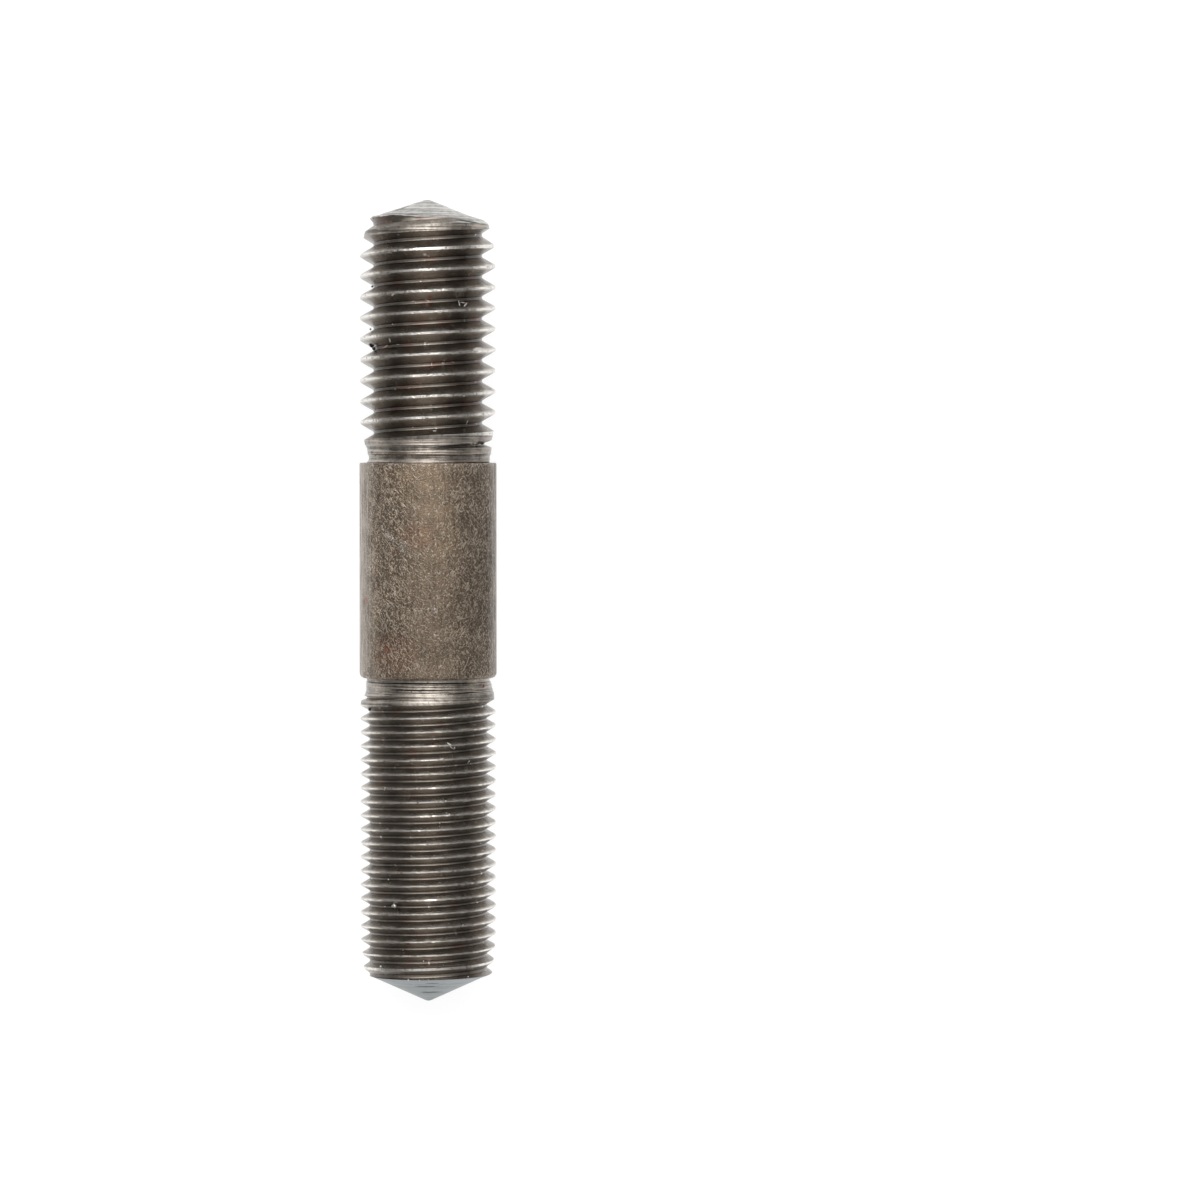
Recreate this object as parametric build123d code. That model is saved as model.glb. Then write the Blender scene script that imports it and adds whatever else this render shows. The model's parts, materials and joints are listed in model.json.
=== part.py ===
from build123d import *
from math import atan2, ceil, cos, degrees, radians, sin, tan
import os

# A double ended stud of the M10 size: one piece of steel, turned from bar and thread rolled.
# A coarse thread screws into a tapped hole, a plain shank stands in the middle, and a fine
# thread takes a nut. Both ends finish in a blunt point.
#
# The stud lies along Y. Its origin is on the axis, at the shoulder between the shank and
# the coarse end, where it stops in its tapped hole. The coarse end points to +Y.
#
# Each end is drawn in a frame of its own, with its shoulder at Z = 0 and its point towards
# +Z, and is then laid down along Y.

# Shank
shank_diameter = 9.88
shank_length = 15.50
coarse_side_break = 0.08
fine_side_break = 0.35

# Both threads are right-handed, with the same crest diameter and the same form
crest_diameter = 9.76
half_thread_angle = radians(30)
crest_flat_share = 1 / 8
root_flat_share = 1 / 8

# Coarse end. A drop is how far a surface lies below the crests. The crests grow to their
# full height over the fade. The groove last crosses the -X side at full depth at last_root,
# stays at full depth for full_turns more, and then runs out over run_out_turns.
coarse_end_length = 19.03
coarse_pitch = 1.50
coarse_neck_drop = 0.455
coarse_neck_length = 0.70
coarse_fade_length = 2.30
coarse_last_root = 2.17
coarse_full_turns = 0.40
coarse_run_out_turns = 0.35

# Ring turned into the coarse neck, against the shoulder
relief_depth = 0.125
relief_length = 0.45

# Fine end
fine_end_length = 23.30
fine_pitch = 1.00
fine_neck_drop = 0.28
fine_neck_length = 1.00
fine_fade_length = 0.90
fine_last_root = 2.33
fine_full_turns = 0.75
fine_run_out_turns = 0.50

# Lead tapers behind the points, where the first crests are not rolled full
coarse_lead_drop = 0.50
coarse_lead_length = 2.40
fine_lead_drop = 0.28
fine_lead_length = 2.40

# Points. The coarse one is a flat cone inside a steeper rim. The fine one is one cone with
# a rounded tip.
coarse_rim_width = 1.48
coarse_rim_height = 0.75
coarse_face_height = 0.82
fine_point_half_angle = radians(66.9)
fine_point_tip_radius = 0.50

# The groove's cutter stands this far clear of the metal, as a share of the pitch
cutter_clearance_share = 0.05

crest_radius = crest_diameter / 2


def root_radius(pitch):
    flanks = pitch * (1 - crest_flat_share - root_flat_share)
    return crest_radius - flanks / (2 * tan(half_thread_angle))


def groove_section(pitch):
    """The groove's section in the plane through the axis, on the +X side at Z = 0."""
    inner = root_radius(pitch)
    outer = crest_radius + cutter_clearance_share * pitch
    inner_half = root_flat_share * pitch / 2
    outer_half = inner_half + (outer - inner) * tan(half_thread_angle)
    corners = [
        (inner, -inner_half),
        (outer, -outer_half),
        (outer, outer_half),
        (inner, inner_half),
    ]
    return Plane.XZ * make_face(Polyline(*corners, close=True))


def half_turn_groove(pitch):
    path = Helix(pitch=pitch, height=pitch / 2, radius=root_radius(pitch))
    return sweep(groove_section(pitch), path=path, is_frenet=True)


def run_out_groove(pitch, turns, neck_radius):
    """A short groove that rises out of the neck as it winds on towards the shoulder."""
    height = turns * pitch
    rise = neck_radius + cutter_clearance_share * pitch - root_radius(pitch)
    cone = atan2(rise, height)
    path = Helix(
        pitch=pitch / cos(cone),
        height=height,
        radius=root_radius(pitch),
        cone_angle=degrees(cone),
    )
    return Rot(X=180) * sweep(groove_section(pitch), path=path, is_frenet=True)


def threaded(blank, pitch, end_length, last_root, full_turns, run_out):
    """The blank with its groove cut, half a turn at a time, from the run-out past the point."""
    full_end = last_root - full_turns * pitch
    start = Pos(Z=full_end) * Rot(Z=180 - 360 * full_turns)
    half_turns = ceil((end_length - full_end) / (pitch / 2)) + 1
    groove = half_turn_groove(pitch)
    cuts = [
        start * Pos(Z=number * pitch / 2) * Rot(Z=180 * number) * groove
        for number in range(half_turns)
    ]
    return blank - [start * run_out, *cuts]


def turned(*edges):
    """A solid turned about Z from an outline in the XZ plane that starts and ends on it."""
    outline = Wire(edges)
    axis_line = Line(outline @ 1, outline @ 0)
    return revolve(Plane.XZ * make_face([*edges, axis_line]), axis=Axis.Z)


def coarse_end():
    neck_radius = crest_radius - coarse_neck_drop
    relief_radius = neck_radius - relief_depth
    lead_radius = crest_radius - coarse_lead_drop
    face_base = coarse_end_length - coarse_face_height
    rim_base = face_base - coarse_rim_height
    outline = Polyline(
        (0, 0),
        (relief_radius, 0),
        (relief_radius, relief_length),
        (neck_radius, relief_length + relief_depth),
        (neck_radius, coarse_neck_length),
        (crest_radius, coarse_neck_length + coarse_fade_length),
        (crest_radius, rim_base - coarse_lead_length),
        (lead_radius, rim_base),
        (lead_radius - coarse_rim_width, face_base),
        (0, coarse_end_length),
    )
    blank = turned(*outline.edges())
    run_out = run_out_groove(coarse_pitch, coarse_run_out_turns, neck_radius)
    return threaded(
        blank, coarse_pitch, coarse_end_length, coarse_last_root, coarse_full_turns, run_out
    )


def fine_end():
    neck_radius = crest_radius - fine_neck_drop
    lead_radius = crest_radius - fine_lead_drop
    # The cone's sharp apex would lie a little past the rounded tip
    tip_centre = fine_end_length - fine_point_tip_radius
    apex = tip_centre + fine_point_tip_radius / sin(fine_point_half_angle)
    point_base = apex - lead_radius / tan(fine_point_half_angle)
    side = Polyline(
        (0, 0),
        (neck_radius, 0),
        (neck_radius, fine_neck_length),
        (crest_radius, fine_neck_length + fine_fade_length),
        (crest_radius, point_base - fine_lead_length),
        (lead_radius, point_base),
        (
            fine_point_tip_radius * cos(fine_point_half_angle),
            tip_centre + fine_point_tip_radius * sin(fine_point_half_angle),
        ),
    )
    tip = RadiusArc(side @ 1, (0, fine_end_length), -fine_point_tip_radius)
    blank = turned(*side.edges(), tip)
    run_out = run_out_groove(fine_pitch, fine_run_out_turns, neck_radius)
    return threaded(blank, fine_pitch, fine_end_length, fine_last_root, fine_full_turns, run_out)


def shank():
    """The shank about Z, with its coarse side towards +Z."""
    bar = Cylinder(shank_diameter / 2, shank_length)
    bar = chamfer(bar.edges().filter_by(GeomType.CIRCLE).sort_by(Axis.Z)[-1], coarse_side_break)
    return chamfer(bar.edges().filter_by(GeomType.CIRCLE).sort_by(Axis.Z)[0], fine_side_break)


def stud():
    coarse = Rot(X=-90) * coarse_end()
    middle = Pos(Y=-shank_length / 2) * Rot(X=-90) * shank()
    fine = Pos(Y=-shank_length) * Rot(X=90) * fine_end()
    return middle + coarse + fine


os.makedirs("parts", exist_ok=True)
export_step(stud(), "parts/stud.step")
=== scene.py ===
"""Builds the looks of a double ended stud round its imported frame, and the stage it lies on."""

import json
import math
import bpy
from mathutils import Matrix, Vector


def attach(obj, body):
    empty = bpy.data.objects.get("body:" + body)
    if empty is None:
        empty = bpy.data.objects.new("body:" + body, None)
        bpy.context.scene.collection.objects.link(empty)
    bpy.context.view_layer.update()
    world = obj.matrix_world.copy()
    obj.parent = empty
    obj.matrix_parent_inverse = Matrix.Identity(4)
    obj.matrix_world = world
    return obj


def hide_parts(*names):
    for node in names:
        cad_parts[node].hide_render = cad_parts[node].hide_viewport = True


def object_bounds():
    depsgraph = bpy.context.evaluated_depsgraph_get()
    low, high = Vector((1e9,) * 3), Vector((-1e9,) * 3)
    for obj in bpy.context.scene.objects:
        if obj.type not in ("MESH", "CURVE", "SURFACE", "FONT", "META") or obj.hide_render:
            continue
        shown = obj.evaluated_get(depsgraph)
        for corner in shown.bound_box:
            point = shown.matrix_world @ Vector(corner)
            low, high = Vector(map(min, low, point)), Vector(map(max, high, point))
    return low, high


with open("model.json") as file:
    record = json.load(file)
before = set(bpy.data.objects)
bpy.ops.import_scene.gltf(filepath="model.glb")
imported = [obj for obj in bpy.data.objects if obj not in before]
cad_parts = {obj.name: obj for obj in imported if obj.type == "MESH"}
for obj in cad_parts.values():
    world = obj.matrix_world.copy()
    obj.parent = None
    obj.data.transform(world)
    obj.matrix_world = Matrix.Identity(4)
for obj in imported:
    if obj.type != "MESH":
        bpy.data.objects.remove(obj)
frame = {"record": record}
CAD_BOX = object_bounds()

from types import SimpleNamespace

import bmesh
import bpy
from mathutils import Matrix, Vector, noise

bl_info = {
    "name": "Double Ended Stud",
    "version": (1, 0, 0),
    "blender": (4, 5, 0),
    "location": "View3D > Sidebar > Stud",
    "description": "Builds an M10 stud with a coarse thread at one end and a fine one at the other",
    "category": "Add Mesh",
}

MM = 0.001
MOUNTS = {mount["name"]: mount for mount in frame["record"]["mounts"]}
SHANK = MOUNTS["shank"]["dims"]["r_mm"]
BODY = "root"
NODE = "stud"

# Corners nearer than these, in millimetres, are one corner: where turns of a groove meet, after
# each cut, and in the finished stud.
SAME_SPOT = 1e-5
AFTER_CUT = 0.0001
SLIVER = 0.0005

# Single marks on the upper side, in millimetres and degrees: x, y, the radius of the surface
# there, half the width, half the length, and how far the length leans from the axis.
SHANK_SCUFFS = (
    (-2.75, -5.0, SHANK, 0.15, 0.85, 38),
    (-1.6, -6.0, SHANK, 0.42, 0.6, 30),
    (-2.3, -3.3, SHANK, 0.16, 0.12, 0),
    (-0.6, -9.6, SHANK, 0.18, 0.14, 0),
    (0.4, -10.3, SHANK, 0.30, 0.16, 20),
)
# The first of these film patches, on the top by the coarse edge, is a painted warm highlight in the
# golden film colour.
SHANK_FILM_AND_SHEEN = ((-0.5, -1.2, SHANK, 2.4, 1.9, 0), (0.9, -4.5, SHANK, 1.5, 3.0, 0))
SHANK_FLUSH = ((-2.4, -13.6, SHANK, 1.9, 1.5, 0), (-0.6, -5.2, SHANK, 1.3, 0.9, 0))
SHANK_RUST = (
    (-2.2, -6.2, SHANK, 0.11, 0.11, 0),
    (-3.65, -7.8, SHANK, 0.11, 0.15, 0),
    (-3.45, -6.0, SHANK, 0.07, 0.10, 0),
    (-4.4, -9.9, SHANK, 0.13, 0.32, 0),
    (-2.8, -13.3, SHANK, 0.22, 0.24, 30),
    (0.95, -8.6, SHANK, 0.09, 0.07, 0),
    (0.65, -13.4, SHANK, 0.06, 0.09, 0),
    (-0.85, -4.2, SHANK, 0.06, 0.10, 0),
)
THREAD_NICKS = (
    (3.75, 8.05, 4.6, 0.45, 0.22, 0),
    (2.35, 11.40, 4.4, 0.048, 0.22, 15),
    (2.80, 11.3, 4.4, 0.048, 0.20, -35),
    (2.6, 11.45, 4.4, 0.20, 0.045, -8),
    (-2.6, 8.75, 4.4, 0.05, 0.16, 10),
    (2.75, 4.85, 4.4, 0.048, 0.16, -35),
    (2.9, 2.9, 4.4, 0.048, 0.18, -25),
    (0.6, 2.3, 4.4, 0.13, 0.045, 0),
    (-3.0, -23.3, 4.6, 0.045, 0.15, -20),
    (1.75, -20.25, 4.6, 0.045, 0.2, 40),
    (2.0, -20.35, 4.6, 0.045, 0.15, -20),
    (-2.35, 12.0, 4.4, 0.13, 0.05, 40),
    (1.65, -20.05, 4.6, 0.2, 0.045, -30),
    (1.1, -21.1, 4.6, 0.18, 0.045, 10),
    (3.0, -21.4, 4.6, 0.045, 0.18, -30),
)
THREAD_RUST = (
    (0.35, 11.3, 4.3, 0.13, 0.12, 0),
    (0.5, -20.0, 4.6, 0.09, 0.13, 0),
    (-2.0, -29.1, 4.6, 0.14, 0.07, 0),
    (-1.25, -34.3, 4.6, 0.14, 0.10, 0),
)
CREST_KNOCKS = ((-0.6, 3.38, 4.88, 0.5, 0.10, -3), (-0.9, -17.65, 4.85, 1.3, 0.08, -3))
CREST_DIRT = ((-4.15, -17.75, 4.7, 0.25, 0.2, 0),)
# Dark grit-coloured lines and dots along slits, grooves and pits: dirt, and painted shade where these
# lie in shadow.
TURNED_SLITS = (
    (2.2, 1.27, 4.7, 0.07, 2.0, 95),
    (3.85, 1.42, 4.7, 0.12, 0.35, 95),
    (2.9, 17.25, 4.3, 0.06, 1.1, 83),
    (-1.9, 18.20, 2.1, 0.07, 0.65, 111),
    (-2.5, 17.60, 4.1, 0.09, 0.9, 90),
    (-3.9, -17.6, 4.6, 0.10, 0.3, 80),
    (-1.0, 17.72, 3.6, 0.04, 0.7, 88),
    (-0.05, -37.55, 3.1, 0.05, 0.85, 90),
    (0.25, -38.08, 2.0, 0.05, 0.8, 90),
    (0.4, -37.25, 3.7, 0.03, 0.5, 90),
    (-4.0, 0.75, 4.5, 0.08, 0.10, 0),
    (-3.7, 0.55, 4.5, 0.06, 0.08, 0),
    (-4.05, 1.1, 4.5, 0.07, 0.08, 0),
    (0.2, -15.72, 4.5, 0.05, 3.6, 90),
    (2.6, -16.45, 4.6, 0.05, 1.5, 92),
    (-0.9, -16.2, 4.6, 0.04, 1.8, 89),
)

# Grains stuck on the upper side, in millimetres: x, y, the radius of the surface there, the
# grain's own radius, and its kind.
BRIGHT, BLACK, RUSTY = range(3)
GRAINS = (
    (-2.30, -31.65, 4.62, 0.19, BRIGHT),
    (1.40, -24.10, 4.84, 0.07, BRIGHT),
    (1.65, -25.10, 4.80, 0.09, BRIGHT),
    (0.95, -25.70, 4.50, 0.06, BRIGHT),
    (2.60, -33.05, 4.80, 0.07, BRIGHT),
    (-3.30, -36.10, 4.62, 0.10, BRIGHT),
    (3.80, -27.30, 4.50, 0.08, BRIGHT),
    (-3.95, -34.55, 4.50, 0.07, BRIGHT),
    (3.10, -23.20, 4.60, 0.05, BRIGHT),
    (-1.70, -34.80, 4.45, 0.05, BRIGHT),
    (-0.20, -35.55, 4.70, 0.05, BRIGHT),
    (-2.75, -29.80, 4.50, 0.05, BRIGHT),
    (-1.30, -36.93, 4.45, 0.05, BRIGHT),
    (-0.50, -36.97, 4.45, 0.05, BRIGHT),
    (0.15, -36.95, 4.45, 0.04, BRIGHT),
    (2.95, -36.80, 4.50, 0.06, BRIGHT),
    (-3.66, 8.40, 4.25, 0.10, BRIGHT),
    (-4.15, -17.72, 4.50, 0.10, BLACK),
    (-3.98, 8.48, 4.15, 0.20, BLACK),
    (-4.15, 8.70, 4.30, 0.14, BLACK),
    (-3.82, 8.18, 4.10, 0.13, BLACK),
    (-4.10, 9.60, 4.15, 0.07, BLACK),
    (-3.95, 12.65, 4.10, 0.08, BLACK),
    (4.30, -28.10, 4.45, 0.10, BLACK),
    # This black grain fills the dark gap at the end of the coarse groove: a dark lump put there as
    # painted shade.
    (3.95, 1.42, 4.45, 0.12, BLACK),
    (3.97, -16.00, 4.50, 0.10, RUSTY),
)


def length(name, description, default):
    """A size kept in metres, shown in the scene's own unit."""
    return bpy.props.FloatProperty(
        name=name, description=description, default=default, min=0, unit="LENGTH", precision=5
    )


def colour(name, description, default):
    """A colour picked in the sidebar."""
    return bpy.props.FloatVectorProperty(
        name=name, description=description, default=default, size=4, subtype="COLOR", min=0, max=1
    )


def linear(hex_colour):
    """An sRGB hex colour as linear red, green, blue and alpha."""
    channels = [int(hex_colour[i : i + 2], 16) / 255 for i in (1, 3, 5)]
    return [c / 12.92 if c <= 0.04045 else ((c + 0.055) / 1.055) ** 2.4 for c in channels] + [1.0]


class StudSizes(bpy.types.PropertyGroup):
    """The sizes of the stud."""

    shank_radius: length("Shank radius", "Radius of the plain middle", SHANK * MM)
    shank_length: length(
        "Shank length", "From shoulder to shoulder", -MOUNTS["fine_thread"]["pos_m"][1]
    )
    crest_radius: length(
        "Crest radius",
        "Radius over the crests of both threads",
        MOUNTS["coarse_thread"]["dims"]["r_mm"] * MM,
    )
    coarse_length: length("Coarse length", "Shoulder to coarse point", CAD_BOX[1].y)
    coarse_pitch: length("Coarse pitch", "Crest to crest at the coarse end", 1.5 * MM)
    coarse_neck: length("Coarse neck", "Radius of the neck at the coarse end", 4.425 * MM)
    fine_length: length(
        "Fine length",
        "Shoulder to fine point",
        MOUNTS["fine_thread"]["pos_m"][1] - CAD_BOX[0].y,
    )
    fine_pitch: length("Fine pitch", "Crest to crest at the fine end", 1.0 * MM)
    fine_neck: length("Fine neck", "Radius of the neck at the fine end", 4.60 * MM)
    wear: length("Wear", "How deep the crests are nicked", 0.055 * MM)
    steps: bpy.props.IntProperty(
        name="Steps", description="Faces round one turn", default=120, min=40, step=40
    )


class StudColours(bpy.types.PropertyGroup):
    """The colours of the stud."""

    browned: colour("Browned steel", "The shank under its brown film", linear("#917F6D"))
    browned_dark: colour("Dark brown", "Where the brown film is thick", linear("#6E6052"))
    rubbed: colour("Rubbed film", "Brown film worn thin", linear("#D2C4B2"))
    # The golden colour also paints a warm highlight on top of the shank.
    golden: colour("Golden film", "Brown film where it is thinnest", linear("#B5966B"))
    # The bare colour also paints light: the lifted band on the fine flanks and the bright rims of the
    # threads and shank.
    bare: colour("Bare steel", "Steel rubbed bright", linear("#D6D2CC"))
    bright: colour("Bright crest", "Crests rubbed to clean metal", linear("#EAE6E0"))
    rolled: colour("Rolled steel", "The thread flanks as they were rolled", linear("#958D84"))
    neck: colour("Turned neck", "The necks beside the shank", linear("#B4ABA1"))
    turned: colour("Turned point", "The coarse point, fresh from the lathe", linear("#D2CFCA"))
    ground: colour("Ground point", "The pale fine point", linear("#989EA0"))
    rust: colour("Rust", "Specks of fresh rust", linear("#8C3B22"))
    # The grit colour is dirt and grains, and is also laid as painted shade towards the sides and in
    # slits and gaps.
    grit: colour("Grit", "Dirt baked into the thread", linear("#1E1C1B"))


# ---------------------------------------------------------------- shapes


def measures(sizes):
    """The stud's sizes in millimetres, and where its parts end along the axis."""
    fine_shoulder = -sizes.shank_length / MM
    return SimpleNamespace(
        crest=sizes.crest_radius / MM,
        shank=sizes.shank_radius / MM,
        neck=sizes.coarse_neck / MM,
        fine_neck=sizes.fine_neck / MM,
        coarse_pitch=sizes.coarse_pitch / MM,
        fine_pitch=sizes.fine_pitch / MM,
        coarse_tip=sizes.coarse_length / MM,
        fine_shoulder=fine_shoulder,
        fine_tip=fine_shoulder - sizes.fine_length / MM,
        wear=sizes.wear / MM,
        steps=sizes.steps,
    )


def corners(pieces):
    """The vertices among some pieces of a bmesh."""
    return [piece for piece in pieces if isinstance(piece, bmesh.types.BMVert)]


def wound_on(mesh, section, pitch, turns, steps, rise, spread):
    """Winds a section on step by step, moving it out by rise and stretching it along by spread."""
    count = round(abs(turns) * steps)
    way = math.copysign(1, turns)
    last = section
    for step in range(1, count + 1):
        last = bmesh.ops.spin(
            mesh,
            geom=last,
            axis=(0, 0, 1),
            dvec=(0, 0, way * pitch / steps),
            angle=way * math.tau / steps,
            steps=1,
        )["geom_last"]
        verts = corners(last)
        middle = sum(vert.co.z for vert in verts) / len(verts)
        out = Matrix.Rotation(way * math.tau * step / steps, 3, "Z") @ Vector((rise / count, 0, 0))
        bmesh.ops.translate(mesh, vec=out, verts=verts)
        bmesh.ops.scale(
            mesh,
            vec=(1, 1, spread ** (1 / count)),
            space=Matrix.Translation((0, 0, -middle)),
            verts=verts,
        )


def groove_section(pitch, crest, depth, slope, fillet):
    """The section of a groove as (radius, height) points, with a round root and rolled-over lips."""
    root = crest - depth
    half_root = pitch / 16
    lip = 0.05
    flank_end = half_root + (depth - lip) * slope
    upper = [
        (root, 0),
        (root + 0.010 * pitch, 0.60 * half_root),
        (root + 0.30 * fillet, half_root + 0.05 * fillet),
        (root + fillet, half_root + fillet * slope),
        (crest - lip, flank_end),
        (crest - 0.3 * lip, flank_end + 0.7 * lip),
        (crest + 0.05 * pitch, flank_end + 1.6 * lip),
    ]
    return [(radius, -height) for radius, height in reversed(upper[1:])] + upper


def rolled_groove(pitch, crest, start, angle, tail, turns, lead, steps):
    """A helical bar with the section of a 60 degree thread's groove, to be cut out of the blank.

    Tail is its turns, the radius it rises to and how far it narrows; lead is turns and widening.
    """
    slope = math.tan(math.radians(30))
    depth = 0.75 * pitch / 2 / slope
    root = crest - depth
    fillet = 0.06 * pitch
    mesh = bmesh.new()
    outline = groove_section(pitch, crest, depth, slope, fillet)
    section = [mesh.verts.new((radius, 0, height)) for radius, height in outline]
    section += [mesh.edges.new(pair) for pair in zip(section, section[1:] + section[:1])]
    end = bmesh.ops.duplicate(mesh, geom=section)["geom"]
    bmesh.ops.translate(mesh, vec=(0, 0, turns * pitch), verts=corners(end))
    wound_on(mesh, section, pitch, -tail[0], steps, tail[1] - root, tail[2])
    wound_on(mesh, end, pitch, lead[0], steps, 0, lead[1])
    before = set(mesh.verts[:] + mesh.edges[:] + mesh.faces[:]) - set(section)
    bmesh.ops.spin(
        mesh,
        geom=section,
        axis=(0, 0, 1),
        dvec=(0, 0, pitch / steps),
        angle=math.tau,
        steps=steps,
    )
    one_turn = [p for p in mesh.verts[:] + mesh.edges[:] + mesh.faces[:] if p not in before]
    for number in range(1, turns):
        copy = bmesh.ops.duplicate(mesh, geom=one_turn)["geom"]
        bmesh.ops.translate(mesh, vec=(0, 0, number * pitch), verts=corners(copy))
    bmesh.ops.remove_doubles(mesh, verts=mesh.verts, dist=SAME_SPOT)
    bmesh.ops.holes_fill(mesh, edges=[edge for edge in mesh.edges if edge.is_boundary])
    bmesh.ops.recalc_face_normals(mesh, faces=mesh.faces)
    for face in mesh.faces:
        outermost = max(vert.co.xy.length for vert in face.verts)
        face.material_index = 1 if outermost < root + 1.2 * fillet else 0
    place = Matrix.Translation((0, 0, start)) @ Matrix.Rotation(angle, 4, "Z")
    bmesh.ops.transform(mesh, matrix=place, verts=mesh.verts)
    return mesh


def thread_grooves(size):
    """The grooves of both threads, each lying along the axis on its own side of the shank."""
    coarse = rolled_groove(
        size.coarse_pitch,
        size.crest,
        start=1.53,
        angle=math.radians(36),
        tail=(0.35, size.neck + 0.05, 0.35),
        turns=9,
        lead=(3, 1.5),
        steps=size.steps,
    )
    fine = rolled_groove(
        size.fine_pitch,
        size.crest,
        start=1.69,
        angle=math.radians(-90),
        tail=(0.5, size.fine_neck + 0.05, 0.6),
        turns=17,
        lead=(3.3, 1.5),
        steps=size.steps,
    )
    up = Matrix.Rotation(math.radians(-90), 4, "X")
    down = Matrix.Translation((0, size.fine_shoulder, 0)) @ Matrix.Rotation(math.radians(90), 4, "X")
    bmesh.ops.transform(coarse, matrix=up, verts=coarse.verts)
    bmesh.ops.transform(fine, matrix=down, verts=fine.verts)
    return {"coarse": coarse, "fine": fine}


def ringed(start, end, feed, height):
    """Outline points between two (y, radius) points, with the fine ridges a turning tool leaves."""
    start, end = Vector(start), Vector(end)
    along = end - start
    count = max(2, round(along.length / feed) * 2)
    across = Vector((-along.y, along.x)).normalized()
    if across.y < 0:
        across = -across
    points = []
    for number in range(count):
        share = number / count
        size = 0.5 + abs(noise.noise(Vector((start.x * 3 + number * 0.37, 2.5, 0))))
        points.append(tuple(start + along * share + across * (height * size * (number % 2))))
    return points


def coarse_point(size):
    """Outline of the coarse point: a low cone with a round tip, in a stepped rim."""
    tip = size.coarse_tip
    rounding = ((0.11, 0), (0.125, 0.12), (0.19, 0.35), (0.29, 0.62))
    cone = ringed((tip - 0.42, 1.0), (tip - 0.87, 2.2), 0.22, 0.012)
    cone += ringed((tip - 0.87, 2.2), (tip - 1.42, 3.75), 0.17, 0.022)
    rim = ((1.42, 3.75), (1.50, 3.92), (1.55, 3.95), (1.62, 4.12), (1.70, 4.14), (1.77, 4.28))
    points = [(tip - down, radius) for down, radius in rounding]
    points += cone
    points += [(tip - down, radius) for down, radius in rim]
    return points + ringed((tip - 1.90, 4.38), (tip - 3.1, 4.68), 0.2, 0.022)


def coarse_bar(size):
    """Outline from the coarse rim to the shoulder: bar, ridged neck and the ring turned into it."""
    crest, neck = size.crest, size.neck
    points = [(size.coarse_tip - 3.97, crest), (3.0, crest)]
    points += ringed((2.9, crest - 0.03), (1.05, neck + 0.05), 0.18, 0.034)
    points += ringed((1.05, neck + 0.05), (0.60, neck), 0.15, 0.038)
    ring = (
        (0.60, 0),
        (0.54, 0.03),
        (0.46, 0.06),
        (0.34, 0.07),
        (0.26, 0.065),
        (0.22, 0.04),
        (0.18, 0.055),
        (0.12, 0.045),
        (0.07, 0.015),
        (0.03, 0.01),
        (0.0, 0.03),
    )
    return points + [(y, neck - drop) for y, drop in ring]


def plain_shank(size):
    """Outline of the shank, with a sharp edge at the coarse end and a round one at the fine end."""
    sharp = ((0.0, 0.10), (-0.015, 0.045), (-0.05, 0.01), (-0.11, 0))
    rounded = ((0.36, 0), (0.22, 0.03), (0.11, 0.10), (0.03, 0.20), (0, 0.29))
    points = [(y, size.shank - drop) for y, drop in sharp]
    return points + [(size.fine_shoulder + up, size.shank - drop) for up, drop in rounded]


def fine_end(size):
    """Outline from the fine shoulder to the fine point: ridged neck, bar and a low cone."""
    crest, neck, low = size.crest, size.fine_neck, size.fine_tip
    ridges = (
        (0, 0.14),
        (0.07, 0.17),
        (0.22, 0.16),
        (0.30, 0.09),
        (0.38, 0.12),
        (0.48, 0.05),
        (0.56, 0.09),
        (0.66, 0.05),
        (0.74, 0.08),
        (0.84, 0.02),
        (0.92, 0.045),
        (1.02, -0.02),
        (1.12, -0.04),
    )
    points = [(size.fine_shoulder - down, neck - drop) for down, drop in ridges]
    points += [(size.fine_shoulder - 1.9, crest), (low + 4.32, crest)]
    points += [(low + 1.93, neck), (low + 1.88, neck - 0.07)]
    points += ringed((low + 1.66, 3.93), (low + 0.12, 0.56), 0.4, 0.005)
    rounding = ((0.07, 0.45), (-0.02, 0.26), (-0.07, 0.12), (-0.085, 0))
    return points + [(low + up, radius) for up, radius in rounding]


def turned_blank(outline, steps):
    """A turned solid about Y from (y, radius) points. Its first and last points are on the axis."""
    mesh = bmesh.new()
    chain = [mesh.verts.new((0, y, radius)) for y, radius in outline[1:-1]]
    edges = [mesh.edges.new(pair) for pair in zip(chain, chain[1:])]
    bmesh.ops.spin(
        mesh,
        geom=chain + edges,
        axis=(0, 1, 0),
        angle=math.tau,
        steps=steps,
        use_merge=True,
    )
    for tip, beside in ((outline[0][0], outline[1][0]), (outline[-1][0], outline[-2][0])):
        ring = [
            edge
            for edge in mesh.edges
            if edge.is_boundary and abs(edge.verts[0].co.y - beside) < SAME_SPOT
        ]
        disc = bmesh.ops.contextual_create(mesh, geom=ring)["faces"]
        centre = bmesh.ops.poke(mesh, faces=disc)["verts"]
        bmesh.ops.translate(mesh, vec=(0, tip - beside, 0), verts=centre)
    bmesh.ops.recalc_face_normals(mesh, faces=mesh.faces)
    return mesh


def part_at(y, size):
    """The name of the part of the blank at a place along the axis, and so of its material."""
    lowest = (
        (size.coarse_tip - 1.9, "coarse_point"),
        (size.coarse_tip - 2.75, "neck"),
        (1.95, "coarse_crest"),
        (0.0, "neck"),
        (size.fine_shoulder, "shank"),
        (size.fine_shoulder - 1.75, "neck"),
        (size.fine_tip + 1.93, "fine_crest"),
    )
    return next((part for level, part in lowest if y > level), "fine_point")


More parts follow.
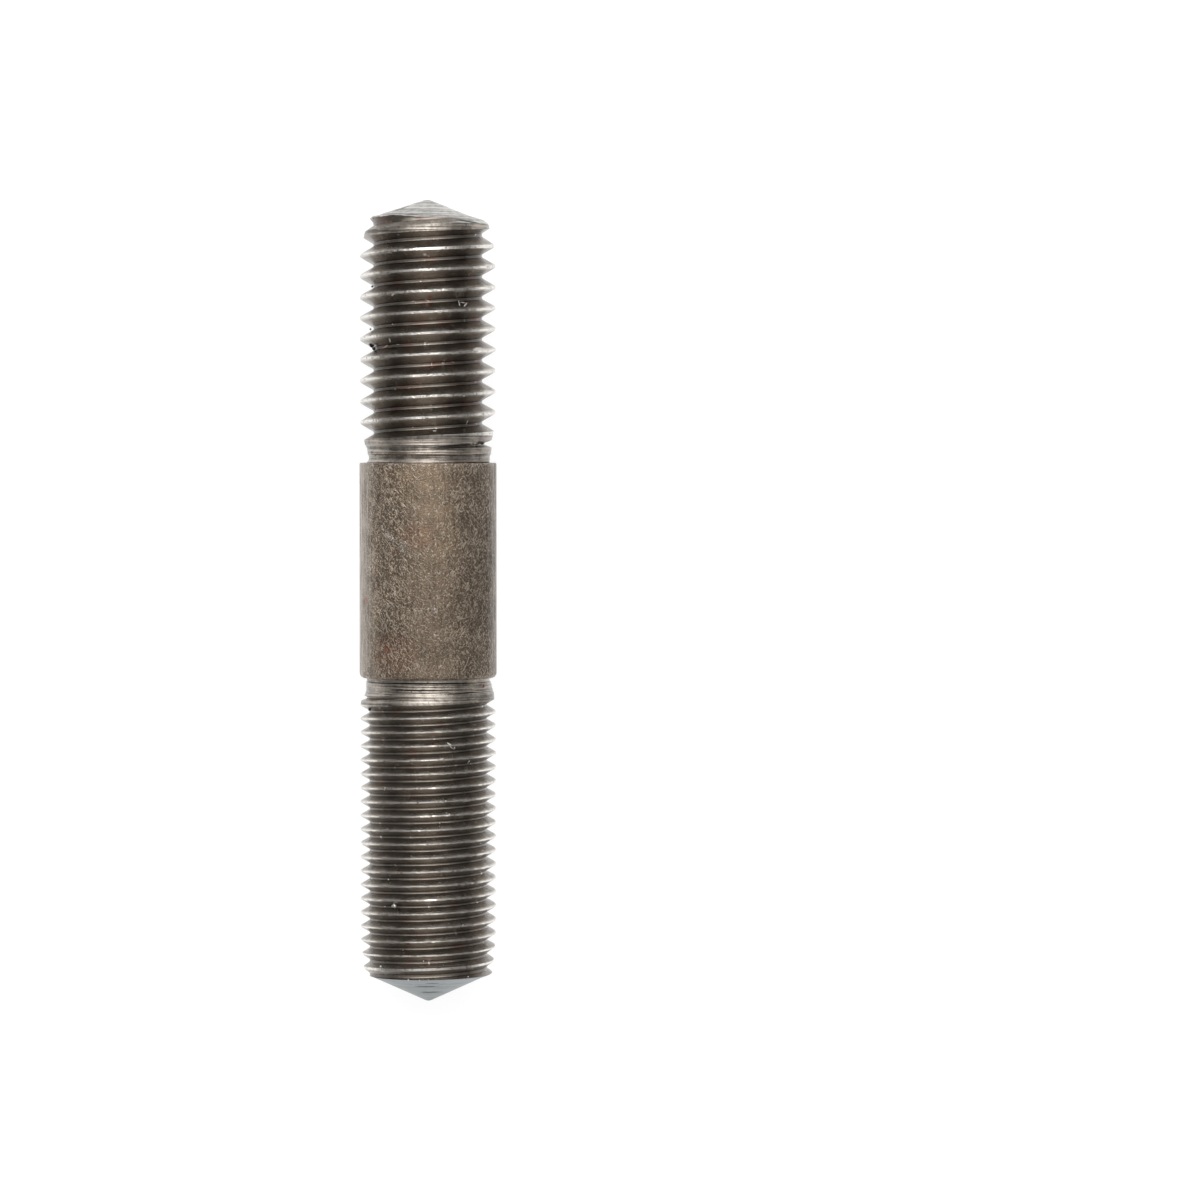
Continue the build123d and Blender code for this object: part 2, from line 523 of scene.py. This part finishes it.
def loose_grains(grains):
    """Lumpy grains half sunk in the upper side. Their kind is the number of their material."""
    mesh = bmesh.new()
    for x, y, radius, size, kind in grains:
        place = Vector((x, y, math.sqrt(max(0, radius**2 - x**2))))
        grain = bmesh.ops.create_icosphere(mesh, subdivisions=2, radius=size)["verts"]
        for vert in grain:
            vert.co *= 1 + 0.35 * noise.noise(vert.co / size * 1.3 + place * 3)
        bmesh.ops.scale(mesh, vec=(1.0, 1.0, 0.8), verts=grain)
        bmesh.ops.translate(mesh, vec=place, verts=grain)
        for face in {face for vert in grain for face in vert.link_faces}:
            face.material_index = kind
    return mesh


def to_object(name, mesh, materials):
    """Puts a bmesh in the scene as an object at the origin."""
    data = bpy.data.meshes.new(name)
    mesh.to_mesh(data)
    mesh.free()
    for material in materials:
        data.materials.append(material)
    made = bpy.data.objects.new(name, data)
    bpy.context.scene.collection.objects.link(made)
    return made


def combine(context, piece, tool, operation):
    """Cuts a tool out of a piece or joins it on, with the tool's materials on the new faces."""
    change = piece.modifiers.new(tool.name, "BOOLEAN")
    change.operation = operation
    change.solver = "EXACT"
    change.use_self = True
    change.material_mode = "TRANSFER"
    change.object = tool
    graph = context.evaluated_depsgraph_get()
    made = bpy.data.meshes.new_from_object(piece.evaluated_get(graph))
    piece.modifiers.clear()
    bpy.data.objects.remove(tool)
    mesh = bmesh.new()
    mesh.from_mesh(made)
    bmesh.ops.remove_doubles(mesh, verts=mesh.verts, dist=AFTER_CUT)
    mesh.to_mesh(made)
    mesh.free()
    piece.data = made


def tilt_point(vert, size):
    """The coarse point was cut a little aslant, so it rises to the left."""
    if vert.co.y > size.coarse_tip - 1.6:
        vert.co.y -= 0.04 * vert.co.x * min(1, (vert.co.y - size.coarse_tip + 1.6) / 0.4)


def set_over_necks(vert, radius, size):
    """Both necks were turned a tenth of a millimetre off the axis."""
    y, shoulder = vert.co.y, size.fine_shoulder
    if 0.004 < y < 1.35 and radius < size.neck + 0.25:
        vert.co.x += 0.10 * min(1, y / 0.2) * min(1, (1.35 - y) / 0.3)
    if shoulder - 1.5 < y < shoulder - 0.1 and radius < size.crest - 0.1:
        vert.co.x += 0.11 * min(1, (shoulder - 0.1 - y) / 0.9, (y - shoulder + 1.5) / 0.3)


def tear_rim(vert, outward, radius, size):
    """A torn lip stands up round the left of the coarse rim."""
    around = math.atan2(vert.co.x, vert.co.z)
    on_rim = size.coarse_tip - 1.75 < vert.co.y < size.coarse_tip - 1.45 and radius > 3.85
    if on_rim and -2.1 < around < -0.2:
        curl = math.sin((around + 2.1) / 1.9 * math.pi) ** 0.4
        ragged = 1 + 0.5 * noise.noise(vert.co * 6)
        vert.co.y += 0.17 * curl * ragged
        vert.co += outward * 0.04 * curl * ragged


def knock_shank_edges(vert, outward, radius, size):
    """Small dents along both edges of the shank."""
    y, shoulder = vert.co.y, size.fine_shoulder
    by_an_edge = shoulder < y < 0.01 and (y > -0.12 or y < shoulder + 0.25)
    if by_an_edge and radius > size.shank - 0.12:
        vert.co -= outward * max(0, noise.noise(vert.co * 3.1)) * 0.05
        vert.co.y += noise.noise(vert.co * 4.7) * 0.02


def bite_crests(vert, outward, radius, size):
    """Shallow bites out of the crests of both threads, which also wander a little."""
    y = vert.co.y
    on_coarse = 1.9 < y < size.coarse_tip - 2.75
    on_fine = size.fine_tip + 1.95 < y < size.fine_shoulder - 1.2
    near_crest = min(1, (radius - size.crest + 0.25) / 0.2)
    if (on_coarse or on_fine) and near_crest > 0:
        deep = noise.noise(vert.co * 1.9) + 0.6 * noise.noise(vert.co * 5.1)
        side = noise.noise(vert.co * 4.3 + Vector((7, 3, 1)))
        bite = max(0, deep - 0.12) * near_crest * size.wear * 1.6
        vert.co -= outward * bite
        vert.co.y += side * 0.03 * near_crest


def wear_stud(data, size):
    """Wears the cut stud, brings it to metres and makes sure that it is closed."""
    mesh = bmesh.new()
    mesh.from_mesh(data)
    bmesh.ops.remove_doubles(mesh, verts=mesh.verts, dist=SLIVER)
    bmesh.ops.dissolve_degenerate(mesh, edges=mesh.edges, dist=SLIVER)
    for vert in mesh.verts:
        tilt_point(vert, size)
        outward = Vector((vert.co.x, 0, vert.co.z))
        radius = outward.length
        if radius < 0.5:
            continue
        outward /= radius
        set_over_necks(vert, radius, size)
        tear_rim(vert, outward, radius, size)
        knock_shank_edges(vert, outward, radius, size)
        bite_crests(vert, outward, radius, size)
    bmesh.ops.transform(mesh, matrix=Matrix.Scale(MM, 4), verts=mesh.verts)
    bmesh.ops.recalc_face_normals(mesh, faces=mesh.faces)
    if not all(edge.is_manifold for edge in mesh.edges):
        raise RuntimeError("the stud is not a closed solid")
    mesh.to_mesh(data)
    mesh.free()
    data.shade_smooth()
    data.set_sharp_from_angle(angle=math.radians(35))


# ---------------------------------------------------------------- materials


def add(tree, kind, inputs=(), output=0, **settings):
    """Adds a shader node with its settings and links, and gives one of its outputs.

    Inputs come in the order of the sockets, or by name or number in a dict. Each is a value or the
    output that feeds it.
    """
    made = tree.nodes.new("ShaderNode" + kind)
    for name, value in settings.items():
        setattr(made, name, value)
    for socket, value in inputs.items() if isinstance(inputs, dict) else enumerate(inputs):
        if isinstance(value, bpy.types.NodeSocket):
            tree.links.new(value, made.inputs[socket])
        else:
            made.inputs[socket].default_value = value
    return made.outputs[output]


def new_surface(name, metallic=1):
    """A material with its tree and shader, and the place on the piece in millimetres."""
    material = bpy.data.materials.new(name)
    material.use_nodes = True
    tree = material.node_tree
    shader = tree.nodes["Principled BSDF"]
    shader.inputs["Metallic"].default_value = metallic
    place = add(tree, "TexCoord", output="Object")
    place = add(tree, "Mapping", {"Vector": place, "Scale": (1 / MM,) * 3})
    return material, tree, shader, place


def darker(shade, share):
    """A colour with that share of its light."""
    return [channel * share for channel in shade[:3]] + [1]


def lumps(place, size, detail=3, roughness=0.6):
    """What a noise needs for lumps of a size in millimetres."""
    return {"Vector": place, "Scale": 1 / size, "Detail": detail, "Roughness": roughness}


def stretched(tree, place, twist, across, along):
    """Place drawn out along the stud. Twist turns it as it goes, in radians per millimetre."""
    height = add(tree, "SeparateXYZ", (place,), "Y")
    turn = add(tree, "Math", (height, twist), operation="MULTIPLY")
    turned = add(tree, "VectorRotate", {"Vector": place, "Angle": turn}, rotation_type="Y_AXIS")
    scale = (1 / across, 1 / along, 1 / across)
    return add(tree, "Mapping", {"Vector": turned, "Scale": scale})


def sides(tree, place, low, high):
    """Nothing along the top of the stud, rising to one towards both its sides."""
    across = add(tree, "SeparateXYZ", (place,), "X")
    across = add(tree, "Math", (across,), operation="ABSOLUTE")
    return add(tree, "MapRange", (across, low, high))


def largest(tree, *values):
    """The greatest of several values."""
    top = values[0]
    for value in values[1:]:
        top = add(tree, "Math", (top, value), operation="MAXIMUM")
    return top


def coated(tree, steel, *coats):
    """A colour with coats laid over it in turn. Each is where it lies, how thick, and its colour."""
    for where, thick, coat in coats:
        amount = add(tree, "Math", (where, thick), operation="MULTIPLY")
        steel = add(tree, "Mix", {0: amount, 6: steel, 7: coat}, 2, data_type="RGBA")
    return steel


def curls(tree, place, size, spacing, thin, share):
    """Hair-fine curved scratches, broken into short lengths. Share is how much is left bare."""
    field = {"Vector": place, "Scale": 1 / size, "Detail": 1.5, "Distortion": 0.4}
    wave = add(tree, "Math", (add(tree, "TexNoise", field), spacing), operation="PINGPONG")
    line = add(tree, "MapRange", (wave, spacing * (1 - thin), spacing * (1 - thin * 0.4)))
    broken = add(tree, "TexNoise", lumps(place, size * 0.55, 2))
    broken = add(tree, "MapRange", (broken, 0.42 + 0.2 * share, 0.50 + 0.2 * share))
    return add(tree, "Math", (line, broken), operation="MULTIPLY")


def marks(tree, place, spots):
    """Single ragged marks on the upper side, listed as at the top of the script."""
    deep = 1.5
    ragged = add(tree, "TexNoise", lumps(place, 0.22))
    found = []
    for x, y, radius, wide, long, lean in spots:
        at = (x, y, math.sqrt(radius**2 - x**2))
        turn = (0, 0, math.radians(lean))
        moved = add(
            tree, "Mapping", (place, at, turn, (wide, long, deep)), vector_type="TEXTURE"
        )
        reach = add(tree, "VectorMath", (moved,), "Value", operation="LENGTH")
        reach = add(tree, "Math", (reach, ragged), operation="ADD")
        found.append(add(tree, "MapRange", (reach, 1.65, 1.25)))
    return largest(tree, *found)


def browned_steel(colours):
    """Drawn bar under a thin brown film: dull, flecked bright where it has rubbed, finely scratched."""
    material, tree, shader, place = new_surface("browned drawn steel", metallic=0.9)
    mottle = add(tree, "TexNoise", lumps(place, 1.3, 5))
    grain = add(tree, "TexNoise", lumps(place, 0.12, 1))
    drawn = add(tree, "TexNoise", lumps(stretched(tree, place, 0, 0.16, 2.0), 1, 3, 0.5))
    tone = add(tree, "Math", (mottle, drawn), operation="ADD")
    across = add(tree, "SeparateXYZ", (place,), "X")
    height = add(tree, "SeparateXYZ", (place,), "Y")

    # Real scratches are a few hundredths wide; these are 0.1 mm so that they show at all.
    flecks = add(tree, "MapRange", (grain, 0.60, 0.68))
    curved = curls(tree, place, 0.62, 0.08, 0.18, 0.42)
    drawn_out = curls(tree, stretched(tree, place, 0.05, 1, 2.2), 0.5, 0.10, 0.18, 0.45)
    fine = largest(tree, flecks, curved, drawn_out)
    leaning = []
    for twist, along in ((0.17, 0.45), (-0.12, 0.40)):
        lines = add(tree, "TexNoise", lumps(stretched(tree, place, twist, 0.10, along), 1, 2, 0.5))
        leaning.append(add(tree, "MapRange", (lines, 0.61, 0.68)))
    share = add(tree, "MapRange", (mottle, 0.35, 0.65, 0.50, 0.82))
    rubbed = add(tree, "Math", (largest(tree, fine, *leaning), share), operation="MULTIPLY")

    # Knocked bright in single scuffs and in patches along the coarse edge.
    by_edge = add(tree, "MapRange", (height, -0.30, -0.12))
    patches = add(tree, "MapRange", (mottle, 0.46, 0.54))
    edge = add(tree, "Math", (by_edge, patches), operation="MULTIPLY")
    knocked = largest(tree, marks(tree, place, SHANK_SCUFFS), edge)
    shine = add(tree, "MapRange", (fine, 0, 1, 0.06, 0.95))
    shine = add(tree, "Math", (shine, knocked), operation="MULTIPLY")

    # The left side, and less so both edges, are rubbed in streaks along the bar. These bare streaks
    # also paint the bright reflection of the rims, stronger on the left.
    left = add(tree, "MapRange", (across, -3.6, -5.0))
    flanks = add(tree, "Math", (sides(tree, place, 4.3, 5.0), 0.6), operation="MULTIPLY")
    streaks_and_rim_sheen = add(tree, "MapRange", (drawn, 0.38, 0.62, 0.1, 0.9))
    streaks_and_rim_sheen = add(tree, "Math", (largest(tree, left, flanks), streaks_and_rim_sheen), operation="MULTIPLY")

    # Golden film; over the first patch it is a painted warm highlight.
    golden = add(tree, "MapRange", (mottle, 0.42, 0.58, 0.03, 0.17))
    film_and_sheen = marks(tree, place, SHANK_FILM_AND_SHEEN)
    golden = add(tree, "Math", (film_and_sheen, golden), operation="MULTIPLY")
    steel = coated(
        tree,
        colours.browned_dark,
        (add(tree, "MapRange", (tone, 0.75, 1.25)), 1, colours.browned),
        (add(tree, "MapRange", (grain, 0.40, 0.32)), 0.5, colours.grit),
        (golden, 1, colours.golden),
        # Painted shade: the grit colour darkens both sides of the shank, and its right side more.
        (sides(tree, place, 1.4, 3.2), 0.10, colours.grit),
        (add(tree, "MapRange", (across, 2.2, 4.2)), 0.33, colours.grit),
        (rubbed, 1, colours.rubbed),
        (streaks_and_rim_sheen, 0.8, colours.bare),
        (shine, 1, colours.bare),
        (marks(tree, place, SHANK_FLUSH), 0.12, colours.rust),
        (marks(tree, place, SHANK_RUST), 0.42, colours.rust),
    )
    tree.links.new(steel, shader.inputs["Base Color"])
    dullness = add(tree, "MapRange", (tone, 0.7, 1.3, 0.42, 0.34))
    tree.links.new(dullness, shader.inputs["Roughness"])
    relief = add(tree, "Math", (grain, drawn), operation="ADD")
    relief = add(tree, "Math", (relief, largest(tree, rubbed, shine)), operation="ADD")
    bump = add(tree, "Bump", {"Height": relief, "Strength": 0.7, "Distance": 0.05 * MM})
    tree.links.new(bump, shader.inputs["Normal"])
    return material


def rolled_steel(name, colours, pitch, crest, roughness, dirt_and_side_shade, stained, lit_band_share):
    """Steel squeezed by rolling dies: smooth and oil-dark, cleaner near the crest, lined along.

    Dirt_and_side_shade is painted shade in the grit colour towards the sides of the groove, stained
    is how far rust has spread, and lit_band_share is painted light on the band between the top and the
    sides.
    """
    material, tree, shader, place = new_surface(name)
    along_groove = stretched(tree, place, -math.tau / pitch, 0.10, 2.5)
    lines = add(tree, "TexNoise", lumps(along_groove, 1, 2, 0.5))
    tone = add(tree, "TexNoise", lumps(place, 0.9, 4))
    grain = add(tree, "TexNoise", lumps(place, 0.16, 3, 0.7))
    mixed = add(tree, "Math", (lines, tone), operation="ADD")
    # Painted light: the band between the top and the sides is lifted towards the bare colour.
    inner, outer = sides(tree, place, 1.2, 2.3), sides(tree, place, 3.4, 2.8)
    band = add(tree, "Math", (inner, outer), operation="MULTIPLY")

    flat = add(tree, "VectorMath", (place, (1, 0, 1)), operation="MULTIPLY")
    radius = add(tree, "VectorMath", (flat,), "Value", operation="LENGTH")
    clean = add(tree, "MapRange", (radius, crest - 0.16 * pitch, crest - 0.02 * pitch, 0, 0.3))
    # Painted reflection: near the crest the bare colour grows strong towards both sides, where the rims
    # mirror the pale floor.
    rim_sheen = add(tree, "Math", (sides(tree, place, 3.0, 4.3), 3.2), operation="MULTIPLY")
    rim_sheen = add(tree, "Math", (clean, rim_sheen), operation="MULTIPLY")
    stain = add(tree, "TexNoise", lumps(place, 1.6, 5, 0.65))
    stain = add(tree, "MapRange", (stain, 0.75 - stained, 0.95 - stained))

    nicks = marks(tree, place, THREAD_NICKS)
    pits = add(tree, "MapRange", (grain, 0.66, 0.76, 0, 0.7))
    scratches = curls(tree, place, 1.1, 0.11, 0.15, 0.85)
    steel = coated(
        tree,
        darker(colours.rolled, 0.65),
        (add(tree, "MapRange", (mixed, 0.75, 1.25)), 1, colours.rolled),
        # Painted shade: the grit colour darkens the groove towards both sides.
        (sides(tree, place, 1.5, 3.0), dirt_and_side_shade, colours.grit),
        (band, lit_band_share, colours.bare),
        (largest(tree, clean, rim_sheen), 1, colours.bare),
        (stain, 0.28, colours.rust),
        (largest(tree, pits, scratches, nicks), 1, colours.bare),
        (marks(tree, place, THREAD_RUST), 0.8, colours.rust),
    )
    tree.links.new(steel, shader.inputs["Base Color"])
    # Fresh nicks are torn, so they scatter light where the rolled flank mirrors it.
    tree.links.new(add(tree, "MapRange", (nicks, 0, 1, 1, 0.15)), shader.inputs["Metallic"])
    dullness = add(tree, "MapRange", (tone, 0.3, 0.7, roughness * 0.8, roughness * 1.25))
    tree.links.new(dullness, shader.inputs["Roughness"])
    bump = add(tree, "Bump", {"Height": lines, "Strength": 0.4, "Distance": 0.02 * MM})
    grainy = {"Height": grain, "Strength": 0.35, "Distance": 0.015 * MM, "Normal": bump}
    tree.links.new(add(tree, "Bump", grainy), shader.inputs["Normal"])
    return material


def worn_steel(name, colours, bare_share, depth):
    """Crests knocked by nuts and spanners: dark with pits, bright where they stand proud."""
    material, tree, shader, place = new_surface(name)
    shader.inputs["Roughness"].default_value = 0.17
    grain = add(tree, "TexNoise", lumps(place, 0.24, 3, 0.75))
    level = 0.62 - 0.3 * bare_share
    bare = add(tree, "MapRange", (grain, level - 0.06, level + 0.06))
    # Painted shade: crests beside the top take back the rolled colour, so that their highlight stays
    # narrow.
    inner, outer = sides(tree, place, 0.7, 1.9), sides(tree, place, 3.9, 3.0)
    steel = coated(
        tree,
        colours.rolled,
        (largest(tree, bare, marks(tree, place, CREST_KNOCKS)), 1, colours.bright),
        (add(tree, "Math", (inner, outer), operation="MULTIPLY"), 0.45, colours.rolled),
        (marks(tree, place, CREST_DIRT), 1, colours.grit),
    )
    tree.links.new(steel, shader.inputs["Base Color"])
    bump = add(tree, "Bump", {"Height": grain, "Strength": 0.8, "Distance": depth * MM})
    tree.links.new(bump, shader.inputs["Normal"])
    return material


def turned_steel(name, colours, shade, low_share, roughness, ring, depth, dirt_and_side_shade):
    """Steel cut on the lathe, with fine rings where the tool fed along and dirt left in some.

    Ring and depth are the width and height of the rings, and low_share the light left in them.
    Dirt_and_side_shade is how much grit lies in the grain, and how much painted shade darkens
    both sides.
    """
    material, tree, shader, place = new_surface(name)
    shader.inputs["Roughness"].default_value = roughness
    flat = add(tree, "Mapping", {"Vector": place, "Scale": (0.12, 1 / ring, 0.12)})
    rings = add(tree, "TexNoise", lumps(flat, 1, 3, 0.5))
    tone = add(tree, "TexNoise", lumps(place, 0.5, 4, 0.65))
    grain = add(tree, "TexNoise", lumps(place, 0.18, 3, 0.7))
    tone = add(tree, "Math", (tone, 0.5), operation="MULTIPLY")
    mixed = add(tree, "Math", (rings, tone), operation="ADD")
    steel = coated(
        tree,
        darker(shade, low_share),
        (add(tree, "MapRange", (mixed, 0.6, 0.85)), 1, shade),
        (add(tree, "MapRange", (grain, 0.62, 0.72)), dirt_and_side_shade, colours.grit),
        # Painted shade: darker towards both sides.
        (sides(tree, place, 3.2, 4.4), 0.3 * dirt_and_side_shade, colours.grit),
        # The slits, grooves and pits take the grit colour as dirt and as painted shade.
        (marks(tree, place, TURNED_SLITS), 0.9, colours.grit),
    )
    tree.links.new(steel, shader.inputs["Base Color"])
    bump = add(tree, "Bump", {"Height": rings, "Strength": 0.8, "Distance": depth * MM})
    grainy = {"Height": grain, "Strength": 0.4 * dirt_and_side_shade, "Distance": 0.03 * MM, "Normal": bump}
    tree.links.new(add(tree, "Bump", grainy), shader.inputs["Normal"])
    return material


def dull_crust(name, shade, roughness):
    """Grit or rust: no metal to see, just a dull grainy skin."""
    material, tree, shader, place = new_surface(name, metallic=0)
    shader.inputs["Roughness"].default_value = roughness
    tone = add(tree, "TexNoise", lumps(place, 0.15, 3, 0.5))
    crust = coated(tree, darker(shade, 0.4), (tone, 1, shade))
    tree.links.new(crust, shader.inputs["Base Color"])
    return material


def stud_materials(colours, size):
    """Every material of the stud, by the part that wears it."""
    coarse = (colours, size.coarse_pitch, size.crest)
    fine = (colours, size.fine_pitch, size.crest)
    return {
        "shank": browned_steel(colours),
        "coarse_crest": worn_steel("worn steel coarse crest", colours, bare_share=0.75, depth=0.05),
        "fine_crest": worn_steel("worn steel fine crest", colours, bare_share=0.75, depth=0.03),
        "coarse_flank": rolled_steel(
            "rolled steel coarse flank", *coarse, roughness=0.22, dirt_and_side_shade=0.0, stained=0.17, lit_band_share=0
        ),
        "coarse_root": rolled_steel(
            "rolled steel coarse root", *coarse, roughness=0.16, dirt_and_side_shade=0.7, stained=0.27, lit_band_share=0
        ),
        "fine_flank": rolled_steel(
            "rolled steel fine flank", *fine, roughness=0.20, dirt_and_side_shade=0.0, stained=0.17, lit_band_share=0.13
        ),
        "fine_root": rolled_steel(
            "rolled steel fine root", *fine, roughness=0.16, dirt_and_side_shade=0.45, stained=0.20, lit_band_share=0
        ),
        "neck": turned_steel(
            "turned steel neck",
            colours,
            colours.neck,
            low_share=0.28,
            roughness=0.22,
            ring=0.13,
            depth=0.11,
            dirt_and_side_shade=0.8,
        ),
        "coarse_point": turned_steel(
            "turned steel point",
            colours,
            colours.turned,
            low_share=0.32,
            roughness=0.28,
            ring=0.13,
            depth=0.085,
            dirt_and_side_shade=0.5,
        ),
        "fine_point": turned_steel(
            "ground steel point",
            colours,
            colours.ground,
            low_share=0.75,
            roughness=0.38,
            ring=0.12,
            depth=0.014,
            dirt_and_side_shade=0.15,
        ),
        "grit": dull_crust("baked grit", colours.grit, 0.7),
        "rust": dull_crust("fresh rust", colours.rust, 0.8),
    }


def pale_floor():
    """A floor that is white to look at and near by in the metal, and still takes the stud's shadow."""
    white_level = 0.86
    material = bpy.data.materials.new("pale floor")
    material.use_nodes = True
    tree = material.node_tree
    tree.nodes.remove(tree.nodes["Principled BSDF"])
    ray = add(tree, "LightPath").node.outputs
    seen = add(tree, "Math", (ray["Is Camera Ray"], ray["Is Glossy Ray"]), operation="ADD")
    seen = add(tree, "Math", (seen, ray["Is Transmission Ray"]), operation="ADD")
    place = add(tree, "TexCoord", output="Object")
    reach = add(tree, "VectorMath", (place,), "Value", operation="LENGTH")
    pool = add(
        tree,
        "MapRange",
        (reach, 30 * MM, 110 * MM, white_level, 0.2),
        interpolation_type="SMOOTHSTEP",
    )
    # The plain middle has a dark neighbour to its right, which only the metal sees.
    middle = Vector((26, -8.5, 0)) * MM
    half_size = (14 * MM, 11 * MM, 1)
    beside = add(tree, "Mapping", (place, middle, (0, 0, 0), half_size), vector_type="TEXTURE")
    beside = add(tree, "VectorMath", (beside,), "Value", operation="LENGTH")
    beside = add(tree, "MapRange", (beside, 0.8, 1.3, 0.1, 1.0))
    pool = add(tree, "Math", (pool, beside), operation="MULTIPLY")
    white = {0: ray["Is Camera Ray"], 2: pool, 3: white_level}
    white = add(tree, "Mix", white, data_type="FLOAT")
    card = add(tree, "BsdfDiffuse", {"Color": linear("#E6E6E6")})
    shaded = add(tree, "BsdfDiffuse", {"Color": linear("#8C8C8C")})
    lit = add(tree, "AddShader", (shaded, add(tree, "Emission", {"Strength": white})))
    floor = add(tree, "MixShader", (seen, card, lit))
    tree.links.new(floor, tree.nodes["Material Output"].inputs["Surface"])
    return material


# ---------------------------------------------------------------- stage


def soft_studio():
    """Two broad strips of light, over the coarse end and more weakly over the fine end."""
    smooth = {"interpolation_type": "SMOOTHSTEP"}
    world = bpy.data.worlds.new("soft studio")
    world.use_nodes = True
    tree = world.node_tree
    way = add(tree, "SeparateXYZ", (add(tree, "TexCoord", output="Generated"),)).node.outputs
    aside = add(tree, "Math", (way["X"],), operation="ABSOLUTE")
    wide = add(tree, "MapRange", (aside, 0.95, 0.1), **smooth)
    narrow = add(tree, "MapRange", (aside, 0.75, 0), **smooth)
    over_coarse = add(tree, "MapRange", (way["Y"], -0.05, 0.5, 0, 2.7), **smooth)
    over_coarse = add(tree, "Math", (over_coarse, narrow), operation="MULTIPLY")
    over_fine = add(tree, "MapRange", (way["Y"], -0.1, -0.7, 0, 0.2), **smooth)
    overhead = add(tree, "Math", (over_fine, 0.30), operation="ADD")
    overhead = add(tree, "Math", (overhead, wide), operation="MULTIPLY")
    level = add(tree, "Math", (over_coarse, overhead), operation="ADD")
    above = add(tree, "MapRange", (way["Z"], 0.05, 0.4), **smooth)
    level = add(tree, "Math", (level, above), operation="MULTIPLY")
    level = add(tree, "Math", (level, 0.30), operation="ADD")
    seen = add(tree, "LightPath", output="Is Camera Ray")
    shown = add(tree, "Mix", {0: seen, 2: level, 3: 1.0}, data_type="FLOAT")
    background = tree.nodes["Background"]
    tree.links.new(shown, background.inputs["Strength"])
    background.inputs["Color"].default_value = (1, 1, 1, 1)
    return world


def overhead_camera():
    """A long lens high above the stud, leaning a little towards its coarse end."""
    high = 385
    data = bpy.data.cameras.new("camera")
    data.lens = 160.2
    data.sensor_width = 36
    data.clip_start = 0.01
    camera = bpy.data.objects.new("camera", data)
    camera.location = Vector((12.4, 2.4, high)) * MM
    camera.rotation_euler = (-math.atan(12.3 / high), 0, 0)
    return camera


# ---------------------------------------------------------------- operators


class OBJECT_OT_stud_body(bpy.types.Operator):
    """Turns the blank, rolls both threads into it and wears it"""

    bl_idname = "object.stud_body"
    bl_label = "Stud Body"
    bl_options = {"REGISTER", "UNDO"}

    def execute(self, context):
        size = measures(context.scene.stud_sizes)
        materials = stud_materials(context.scene.stud_colours, size)
        names = list(materials)
        outline = coarse_point(size) + coarse_bar(size) + plain_shank(size) + fine_end(size)
        blank = turned_blank(outline, size.steps)
        for face in blank.faces:
            face.material_index = names.index(part_at(face.calc_center_median().y, size))
        stud = to_object("stud_body", blank, materials.values())
        for name, groove in thread_grooves(size).items():
            tool = to_object(name, groove, [materials[name + "_flank"], materials[name + "_root"]])
            combine(context, stud, tool, "DIFFERENCE")
        kinds = {BRIGHT: "coarse_point", BLACK: "grit", RUSTY: "rust"}
        skins = [materials[kinds[kind]] for kind in sorted(kinds)]
        combine(context, stud, to_object("grit", loose_grains(GRAINS), skins), "UNION")
        wear_stud(stud.data, size)
        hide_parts(NODE)
        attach(stud, BODY)
        return {"FINISHED"}


class SCENE_OT_stud_stage(bpy.types.Operator):
    """Lays the floor, lights it softly and sets the camera above"""

    bl_idname = "scene.stud_stage"
    bl_label = "Stud Stage"
    bl_options = {"REGISTER", "UNDO"}

    def execute(self, context):
        scene = context.scene
        mesh = bmesh.new()
        bmesh.ops.create_grid(mesh, x_segments=1, y_segments=1, size=1.5)
        bmesh.ops.translate(mesh, vec=(0, 0, CAD_BOX[0].z), verts=mesh.verts)
        to_object("floor", mesh, [pale_floor()])
        scene.world = soft_studio()
        scene.camera = overhead_camera()
        scene.collection.objects.link(scene.camera)
        scene.view_settings.view_transform = "Standard"
        return {"FINISHED"}


class VIEW3D_PT_stud(bpy.types.Panel):
    """The stud's sizes, colours and pieces"""

    bl_label = "Double Ended Stud"
    bl_space_type = "VIEW_3D"
    bl_region_type = "UI"
    bl_category = "Stud"

    def draw(self, context):
        for group in (context.scene.stud_sizes, context.scene.stud_colours):
            box = self.layout.box()
            for name in group.__annotations__:
                box.prop(group, name)
        for operator in (OBJECT_OT_stud_body, SCENE_OT_stud_stage):
            self.layout.operator(operator.bl_idname)


CLASSES = (StudSizes, StudColours, OBJECT_OT_stud_body, SCENE_OT_stud_stage, VIEW3D_PT_stud)


def register():
    for item in CLASSES:
        bpy.utils.register_class(item)
    bpy.types.Scene.stud_sizes = bpy.props.PointerProperty(type=StudSizes)
    bpy.types.Scene.stud_colours = bpy.props.PointerProperty(type=StudColours)


def unregister():
    del bpy.types.Scene.stud_colours
    del bpy.types.Scene.stud_sizes
    for item in reversed(CLASSES):
        bpy.utils.unregister_class(item)


def main():
    register()
    bpy.ops.object.stud_body()
    bpy.ops.scene.stud_stage()


if __name__ == "__main__":
    main()
